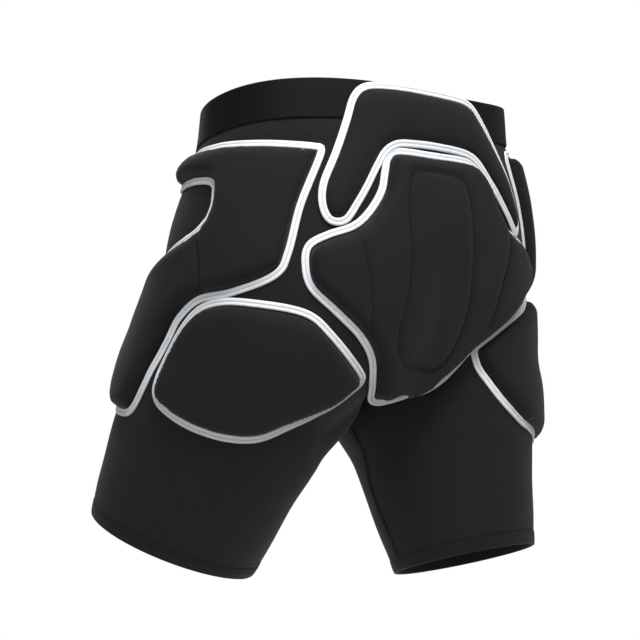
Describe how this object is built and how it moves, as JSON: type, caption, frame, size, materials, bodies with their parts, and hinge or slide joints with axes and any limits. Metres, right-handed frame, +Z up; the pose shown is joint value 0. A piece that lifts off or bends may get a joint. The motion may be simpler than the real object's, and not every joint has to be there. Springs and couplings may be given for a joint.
{
  "type": "padded impact shorts",
  "caption": "Tight stretch shorts with an elastic waistband and foam pads with bound edges over the waist, seat, hips and rear thighs.",
  "frame": {"origin": "centre of the waist opening, in the plane of its rim", "axes": "+Z up out of the waist opening, +X the wearer's left, the wearer faces -Y"},
  "size_m": [0.4209, 0.3255, 0.4413],
  "materials": {
    "ribbed_elastic": "matte fine-ribbed",
    "elastic_core": "matte",
    "waist_lining": "matte",
    "binding_tape": "satin tape",
    "pad_foam": "matte foam",
    "pad_fabric": "matte stretch knit",
    "hem_fabric": "matte stretch knit",
    "shell_fabric": "matte stretch knit"
  },
  "bodies": {
    "pelvis": {"waistband_face": "ribbed_elastic", "waistband_elastic": "elastic_core", "waistband_lining": "waist_lining", "left_pelvis_shell": "shell_fabric", "right_pelvis_shell": "shell_fabric", "left_stretch_panel": "shell_fabric", "right_stretch_panel": "shell_fabric", "seat_pad_cover": "pad_fabric", "seat_pad_foam_centre": "pad_foam", "seat_pad_foam_left": "pad_foam", "seat_pad_foam_right": "pad_foam", "seat_pad_binding": "binding_tape", "waist_pad_cover": "pad_fabric", "waist_pad_foam": "pad_foam", "waist_pad_binding": "binding_tape", "left_hip_pad_cover": "pad_fabric", "left_hip_pad_foam": "pad_foam", "left_hip_pad_binding": "binding_tape", "right_hip_pad_cover": "pad_fabric", "right_hip_pad_foam": "pad_foam", "right_hip_pad_binding": "binding_tape"},
    "left_leg": {"left_leg_shell": "shell_fabric", "left_hem_band": "hem_fabric", "left_thigh_pad_cover": "pad_fabric", "left_thigh_pad_foam": "pad_foam", "left_thigh_pad_binding": "binding_tape"},
    "right_leg": {"right_leg_shell": "shell_fabric", "right_hem_band": "hem_fabric", "right_thigh_pad_cover": "pad_fabric", "right_thigh_pad_foam": "pad_foam", "right_thigh_pad_binding": "binding_tape"}
  },
  "joints": [
    {"name": "left_hip_flex", "type": "hinge", "parent": "pelvis", "child": "left_leg", "pos_m": [0.085, -0.02, -0.179], "axis": [-1, 0, 0], "range_deg": [-3, 42], "deforming": ["left_stretch_panel", "left_hip_pad_cover", "left_hip_pad_foam", "left_hip_pad_binding", "left_thigh_pad_cover", "left_thigh_pad_foam", "left_thigh_pad_binding"]},
    {"name": "right_hip_flex", "type": "hinge", "parent": "pelvis", "child": "right_leg", "pos_m": [-0.085, -0.02, -0.179], "axis": [-1, 0, 0], "range_deg": [-3, 75], "deforming": ["right_stretch_panel", "right_hip_pad_cover", "right_hip_pad_foam", "right_hip_pad_binding", "right_thigh_pad_cover", "right_thigh_pad_foam", "right_thigh_pad_binding"]}
  ]
}
